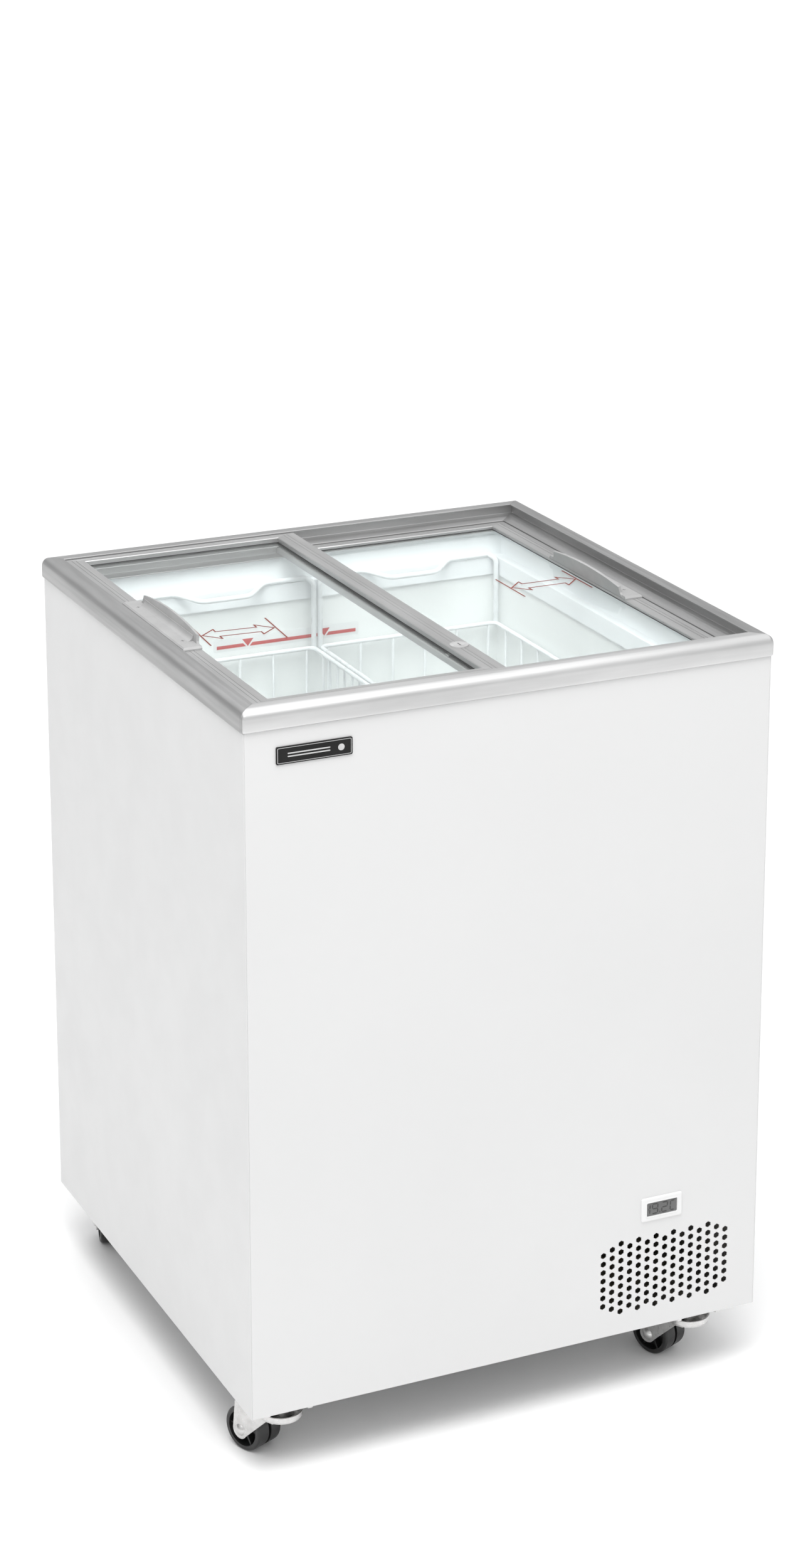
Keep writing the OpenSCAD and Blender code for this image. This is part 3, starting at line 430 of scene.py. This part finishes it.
def tube(bm, path, r, closed=False, sides=10):
    """Round wire along a path, with domed ends where it is open."""
    n = len(path)
    heading = []
    for i in range(n):
        ahead = path[(i + 1) % n] if closed or i < n - 1 else path[i]
        behind = path[i - 1] if closed or i else path[i]
        heading.append((ahead - behind).normalized())
    side = heading[0].orthogonal().normalized()
    rings = []

    def ring(at, direction, side, radius):
        other = direction.cross(side)
        turn = [2 * math.pi * k / sides for k in range(sides)]
        return [bm.verts.new(at + (side * math.cos(t) + other * math.sin(t)) * radius) for t in turn]

    for i in range(n):
        if i:
            side = heading[i - 1].rotation_difference(heading[i]) @ side
        rings.append(ring(path[i], heading[i], side, r))
    for a, b in zip(rings, rings[1:]):
        bridge(bm, a, b)
    if closed:
        bridge(bm, rings[-1], rings[0])
        return
    for first, at, outward in ((rings[0], path[0], -heading[0]), (rings[-1], path[-1], heading[-1])):
        around = [(v.co - at).normalized() for v in first]
        low = first
        for lift in (30, 60):
            c, s = math.cos(math.radians(lift)), math.sin(math.radians(lift))
            high = [bm.verts.new(at + d * r * c + outward * r * s) for d in around]
            bridge(bm, low, high)
            low = high
        bm.faces.new(low)


def round_rect(w, h, r, steps=5):
    """Corners of a rounded rectangle about the origin, as (x, z) pairs."""
    corners = [Vector((sx * w / 2, sz * h / 2, 0)) for sx, sz in CORNER_SIGNS]
    return [(p.x, p.y) for p in rounded(corners, [r] * 4, steps, closed=True)]


def loft(bm, centre, loops, ends=True):
    """A solid on a wall that faces -Y, from rounded rectangles (width, height, radius, how far out).

    Without ends, the last rectangle is joined to the first and a ring is left."""
    rings = []
    for w, h, r, out in loops:
        rings.append([bm.verts.new(centre + Vector((x, -out, z))) for x, z in round_rect(w, h, r)])
    for a, b in zip(rings, rings[1:]):
        bridge(bm, a, b)
    if ends:
        bm.faces.new(rings[0])
        bm.faces.new(rings[-1])
    else:
        bridge(bm, rings[-1], rings[0])


def soften(names, width, segments=2, angle=40):
    """Rounds a CAD node's sharp edges where they catch the light."""
    for name in names:
        o = nodes[name]
        weld = o.modifiers.new("weld", "WELD")
        weld.merge_threshold = 1e-6
        bevel = o.modifiers.new("edges", "BEVEL")
        bevel.width = width
        bevel.segments = segments
        bevel.limit_method = "ANGLE"
        bevel.angle_limit = math.radians(angle)
        bevel.harden_normals = True


def paint(material, *names):
    for name in names:
        slots = nodes[name].data.materials
        slots.clear()
        slots.append(material)


# ---- Top frame ----

# Section of a frame bar: how far in from its outer face, how far up, and the corner's radius, in mm
FRAME_SECTION = ((0, 0, 3), (0, 24, 10), (21.2, 24, 0.6), (21.2, 22.4, 0.5), (17, 22.4, 0),
                 (17, 12.4, 0.8), (24.5, 12.4, 2), (38.5, 10.4, 0.5), (38.5, 9.2, 0.4), (34.5, 9.2, 0),
                 (34.5, 1.2, 0.6), (53, 1.2, 0.5), (53, 0, 0.3))
# Quarter turns from the front, CAD node, finish. The finishes are lit and shaded copies of one grey:
# painted light on the front bar, and painted shade on the back and side bars.
FRAME_BARS = ((0, "frame_front", "frame_front"), (1, "frame_right", "frame_side_painted_shade"),
              (2, "frame_back", "frame_back"), (3, "frame_left", "frame_side_painted_shade"))


def frame_profile():
    points = [mm(u, z, 0) for u, z, _ in FRAME_SECTION]
    radii = [r * MM for _, _, r in FRAME_SECTION]
    return [(p.x, p.y) for p in rounded(points, radii, 6, closed=True)]


def make_frame(materials):
    """Four bars. Each runs from one mitre round half a corner, along, and round half a corner again."""
    corner_r = mm(6)
    joint_gap = mm(0.12)
    steps = 6
    low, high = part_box("frame_front")
    half = high.x
    base = low.z
    profile = frame_profile()
    for turns, name, finish in FRAME_BARS:
        bm = bmesh.new()
        loops = []
        for u, z in profile:
            reach = half - u
            r = max(corner_r - u, 0.0)
            loop = []
            for side in (-1, 1):
                centre = Vector((side * (reach - r), -(reach - r), 0))
                for k in range(steps + 1):
                    share = k / steps if side < 0 else 1 - k / steps
                    t = math.radians(270 + side * 45 * (1 - share))
                    spot = centre + Vector((math.cos(t) * r, math.sin(t) * r, 0))
                    if (k == 0 and side < 0) or (k == steps and side > 0):
                        spot.x -= side * joint_gap
                    loop.append(Vector((spot.x, spot.y, base + z)))
            loops.append([bm.verts.new(p) for p in loop])
        for a, b in zip(loops, loops[1:] + loops[:1]):
            bridge(bm, a, b, closed=False)
        bm.faces.new([loop[0] for loop in loops])
        bm.faces.new([loop[-1] for loop in loops])
        turn = Quaternion((0, 0, 1), math.radians(90 * turns))
        for v in bm.verts:
            v.co = turn @ v.co
        make_piece(name + "_bar", bm, materials[finish], "cabinet", [name], sharp=32)


# ---- Lids ----

def make_gasket(materials, lid):
    """Black strip between the glass of a lid and its bars."""
    low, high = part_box(f"lid_{lid}_glass")
    edge = mm(3.8)
    width = mm(0.8)
    rise = mm(0.4)
    sunk = -0.2 * MM
    x0, x1, y0, y1 = low.x + edge, high.x - edge, low.y + edge, high.y - edge
    bm = bmesh.new()
    rings = []
    for inset, up in ((0, sunk), (0, rise), (0.3 * width, rise * 1.15), (width * 0.8, rise * 0.7),
                      (width, sunk)):
        z = high.z + up
        left, right, front, back = x0 + inset, x1 - inset, y0 + inset, y1 - inset
        corners = ((left, front, z), (right, front, z), (right, back, z), (left, back, z))
        rings.append([bm.verts.new(corner) for corner in corners])
    for a, b in zip(rings, rings[1:] + rings[:1]):
        bridge(bm, a, b)
    make_piece(f"lid_{lid}_gasket", bm, materials["rubber"], f"lid_{lid}", sharp=60)


# ---- Baskets ----

def level_loop(cx, half_x, half_y, z):
    """Corners of a level rectangle about (cx, 0)."""
    return [Vector((cx + sx * half_x, sy * half_y, z)) for sx, sy in CORNER_SIGNS]


def make_cage(materials, name):
    """Thin wires bent up from the floor, two bands round them, and a thicker rim."""
    thin, rim = mm(1.5), mm(2.5)
    low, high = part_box(name + "_cage")
    cx = (low.x + high.x) / 2
    hx = (high.x - low.x) / 2 - rim
    hy = (high.y - low.y) / 2 - rim
    rim_z = high.z - rim
    floor_z = low.z + thin
    wires_x, wires_y = 6, 11
    pitch_x, pitch_y = mm(41.7), mm(42)
    bend = mm(9)
    radii = [0, bend, bend, 0]
    bm = bmesh.new()
    for i in range(wires_x):
        x = cx + (i - (wires_x - 1) / 2) * pitch_x
        y = hy - 0.2 * rim
        corners = [Vector((x, -y, rim_z)), Vector((x, -y, floor_z)),
                   Vector((x, y, floor_z)), Vector((x, y, rim_z))]
        tube(bm, rounded(corners, radii), thin, sides=8)
    for i in range(wires_y):
        y = (i - (wires_y - 1) / 2) * pitch_y
        x = hx - 0.2 * rim
        lift = 1.9 * thin
        corners = [Vector((cx - x, y, rim_z)), Vector((cx - x, y, floor_z + lift)),
                   Vector((cx + x, y, floor_z + lift)), Vector((cx + x, y, rim_z))]
        tube(bm, rounded(corners, radii), thin, sides=8)
    drop = rim_z - floor_z
    for k in (1, 2):
        out = thin * 1.6
        corners = level_loop(cx, hx - out, hy - out, floor_z + drop * k / 3)
        tube(bm, rounded(corners, [mm(10)] * 4, 6, closed=True), thin, closed=True, sides=8)
    corners = level_loop(cx, hx, hy, rim_z)
    tube(bm, rounded(corners, [bend] * 4, 6, closed=True), rim, closed=True, sides=12)
    make_piece(name + "_wires", bm, materials["white_wire"], name, [name + "_cage"],
               sharp=50)
    return cx, hx, hy, rim_z + 0.3 * rim


def make_hanging_wires(materials, name, cx, hx, hy, foot_z):
    """Two thick wires that rest on the ledge, with a dip for the fingers in the middle of each."""
    thick = mm(3)
    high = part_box(name + "_hangers")[1]
    ball = mm(3.7)
    top = high.z - ball
    wall_y = high.y - ball
    grip_y = wall_y - mm(22)
    grip_z = top - mm(6)
    bend_in, bend_up = mm(6), mm(4.6)
    radii = [0, mm(6.5), mm(6), mm(20), mm(18)]
    bm = bmesh.new()
    for s in (-1, 1):
        half = [Vector((hx, s * hy, foot_z)), Vector((hx, s * hy, top - bend_up)),
                Vector((hx - bend_in, s * wall_y, top)), Vector((mm(54), s * wall_y, top)),
                Vector((mm(30), s * grip_y, grip_z))]
        path = half + [Vector((-p.x, p.y, p.z)) for p in reversed(half)]
        path = [Vector((cx + p.x, p.y, p.z)) for p in rounded(path, radii + radii[::-1], 7)]
        tube(bm, path, thick, sides=14)
    make_piece(name + "_hanging_wires", bm, materials["white_wire"], name,
               [name + "_hangers"], sharp=50)


def make_basket(materials, side):
    name = f"basket_{side}"
    make_hanging_wires(materials, name, *make_cage(materials, name))


# ---- Fittings on the front ----

# Which strokes each sign has, and each stroke's ends as shares of the sign's width and height
SEGMENTS = {"1": "bc", "2": "abged", "9": "abcdfg", "C": "adef", "-": "g"}
STROKES = {"a": ((0, 1), (1, 1)), "b": ((1, 1), (1, 0.5)), "c": ((1, 0.5), (1, 0)), "d": ((0, 0), (1, 0)),
           "e": ((0, 0.5), (0, 0)), "f": ((0, 1), (0, 0.5)), "g": ((0, 0.5), (1, 0.5))}
# Each sign of the display, its left edge from the display's middle and its width, in millimetres
READING = (("-", -17.3, 1.9), ("1", -20.6, 6.0), ("9", -11.6, 6.6), (".", -2.7, 1.1),
           ("2", 0.2, 6.6), ("C", 10.6, 5.2))


def make_digits(materials, centre):
    """Liquid crystal digits, as thin plates with pointed ends."""
    height = mm(11)
    stroke = mm(1.15)
    thick = mm(0.12)
    slant = 0.05
    bm = bmesh.new()

    def plate(flat):
        back = [bm.verts.new(centre + Vector((x + slant * z, 0, z))) for x, z in flat]
        front = [bm.verts.new(v.co + Vector((0, -thick, 0))) for v in back]
        bridge(bm, back, front)
        bm.faces.new(front)
        bm.faces.new(back)

    for sign, left, width in READING:
        left, width = mm(left), mm(width)
        if sign == ".":
            low = -height / 2
            plate([(left, low), (left + width, low), (left + width, low + width), (left, low + width)])
            continue
        for name in SEGMENTS[sign]:
            (ax, az), (bx, bz) = STROKES[name]
            a = Vector((left + ax * width, (az - 0.5) * height, 0))
            b = Vector((left + bx * width, (bz - 0.5) * height, 0))
            d = (b - a).normalized()
            n = Vector((-d.y, d.x, 0)) * stroke / 2
            a, b = a + d * stroke * 0.35, b - d * stroke * 0.35
            tip = d * min(stroke / 2, (b - a).length * 0.3)
            flat = [a, a + tip - n, b - tip - n, b, b - tip + n, a + tip + n]
            plate([(p.x, p.y) for p in flat])
    make_piece("thermometer_digits", bm, materials["digits"], "cabinet", sharp=30)


def make_thermometer(materials):
    """The surround, lofted from its back over its front and down into the window, and the digits."""
    low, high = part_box("thermometer_bezel")
    centre = Vector(((low.x + high.x) / 2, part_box("front_panel")[0].y, (low.z + high.z) / 2))
    w, h = high.x - low.x, high.z - low.z
    out = centre.y - low.y
    window_w, window_h = mm(37), mm(15.6)
    bm = bmesh.new()
    loft(bm, centre, [
        (w - mm(5), h - mm(4.5), mm(1), -mm(13)), (w - mm(5), h - mm(4.5), mm(1), 0),
        (w, h, mm(2.2), 0), (w, h, mm(2.2), out * 0.45), (w - mm(0.6), h - mm(0.6), mm(2), out * 0.7),
        (w - mm(2.6), h - mm(2.6), mm(1.6), out * 0.95), (w - mm(4), h - mm(4), mm(1.4), out),
        (window_w + mm(3.2), window_h + mm(3.2), mm(2.4), out * 0.96),
        (window_w + mm(2.6), window_h + mm(2.6), mm(2.2), out * 1.12),
        (window_w + mm(1.6), window_h + mm(1.6), mm(1.8), out * 1.16),
        (window_w + mm(0.4), window_h + mm(0.4), mm(1.4), out * 1.05),
        (window_w, window_h, mm(1.2), out * 0.8), (window_w, window_h, mm(1.2), -mm(4))])
    make_piece("thermometer_surround", bm, materials["white_plastic"], "cabinet",
               ["thermometer_bezel"], sharp=40)
    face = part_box("thermometer_display")[0].y
    make_digits(materials, Vector((centre.x, face, centre.z)))


def make_badge(materials):
    """A thin bright border, two plain bars and a small disc on the black plate."""
    low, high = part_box("badge_plate")
    centre = Vector(((low.x + high.x) / 2, low.y, (low.z + high.z) / 2))
    w, h = high.x - low.x, high.z - low.z
    bm = bmesh.new()
    inset, line, lift = mm(2.4), mm(0.5), mm(0.15)
    loft(bm, centre, [(w - inset, h - inset, mm(1.2), -lift), (w - inset, h - inset, mm(1.2), lift),
                      (w - inset - 2 * line, h - inset - 2 * line, mm(0.9), lift),
                      (w - inset - 2 * line, h - inset - 2 * line, mm(0.9), -lift)], ends=False)
    bar = (mm(46), mm(1.3), mm(0.6))
    for z in (1.6, -1.6):
        loft(bm, centre + mm(-6, 0, z), [(*bar, -lift), (*bar, lift)])
    disc = (mm(7), mm(7), mm(3.4))
    loft(bm, centre + mm(29, 0, 0), [(*disc, -lift), (*disc, lift)])
    make_piece("badge_border", bm, materials["silver_print"], "cabinet", sharp=30)


def make_label(materials):
    """Clear white label behind the printed load line."""
    low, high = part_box("load_line_sticker")
    centre = Vector(((low.x + high.x) / 2, high.y, (low.z + high.z) / 2))
    w, h = high.x - low.x + mm(8), high.z - low.z + mm(7)
    bm = bmesh.new()
    loft(bm, centre, [(w, h, mm(2), 0), (w, h, mm(2), mm(0.12)),
                      (w - mm(0.3), h - mm(0.3), mm(1.9), mm(0.16))])
    make_piece("load_line_label", bm, materials["label"], "cabinet", sharp=30)


# ---- Whole scene ----

def paint_cad(m):
    paint(m["white_sheet"], "front_panel", "left_panel", "right_panel", "back_panel", "rear_grille")
    paint(m["galvanised"], "base_plate")
    paint(m["foam"], "insulation_foam")
    paint(m["liner"], "inner_liner")
    paint(m["collar"], "liner_collar")
    for side in ("left", "right"):
        paint(m["lid_x"], f"lid_{side}_rails")
        paint(m["lid_y"], f"lid_{side}_outer_stile")
        paint(m["handle_grey"], f"lid_{side}_handle", f"lid_{side}_handle_screws")
        paint(m["brown_print"], f"lid_{side}_slide_mark")
        paint(m["lid_glass"], f"lid_{side}_glass")
    paint(m["lid_y"], "lid_left_centre_stile", "lid_right_inner_stile")
    paint(m["black_plate"], "badge_plate")
    paint(m["display"], "thermometer_display")
    paint(m["red_print"], "load_line_sticker")
    paint(m["black_enamel"], "compressor")
    paint(m["rubber"], "compressor_mounts")
    paint(m["copper"], "filter_drier", "condenser_coil")
    paint(m["tube_metal"], "evaporator_coil")
    paint(m["black_plastic"], "cord_gland", "thermostat_knob")
    paint(m["white_plastic"], "thermostat_body")
    paint(m["zinc"], "screws", "castor_plates", "lock_cam")
    paint(m["nickel"], "lock_barrel", "lock_plug")
    for spot in ("fl", "fr", "bl", "br"):
        paint(m["zinc"], f"castor_{spot}_fork", f"castor_{spot}_axle")
        paint(m["wheel_black"], f"castor_{spot}_wheel")


def soften_cad():
    soften(("front_panel", "left_panel", "right_panel", "back_panel"), mm(0.4))
    soften(("rear_grille", "badge_plate"), mm(0.3))
    soften(("lid_left_handle", "lid_right_handle"), mm(0.5), 3)
    soften(("lid_left_rails", "lid_left_outer_stile", "lid_left_centre_stile", "lid_right_rails",
            "lid_right_outer_stile", "lid_right_inner_stile"), mm(0.15), 2, 50)


def main():
    scene = bpy.context.scene
    scene.view_settings.view_transform = "Standard"
    make_camera()
    make_world()
    for sun in SUNS:
        make_sun(*sun)
    make_soft_box(Vector((0, 0, cad_high.z)))
    make_floor()
    materials = make_materials()
    paint_cad(materials)
    soften_cad()
    make_frame(materials)
    for lid in ("left", "right"):
        make_gasket(materials, lid)
        make_basket(materials, lid)
    make_thermometer(materials)
    make_badge(materials)
    make_label(materials)


main()
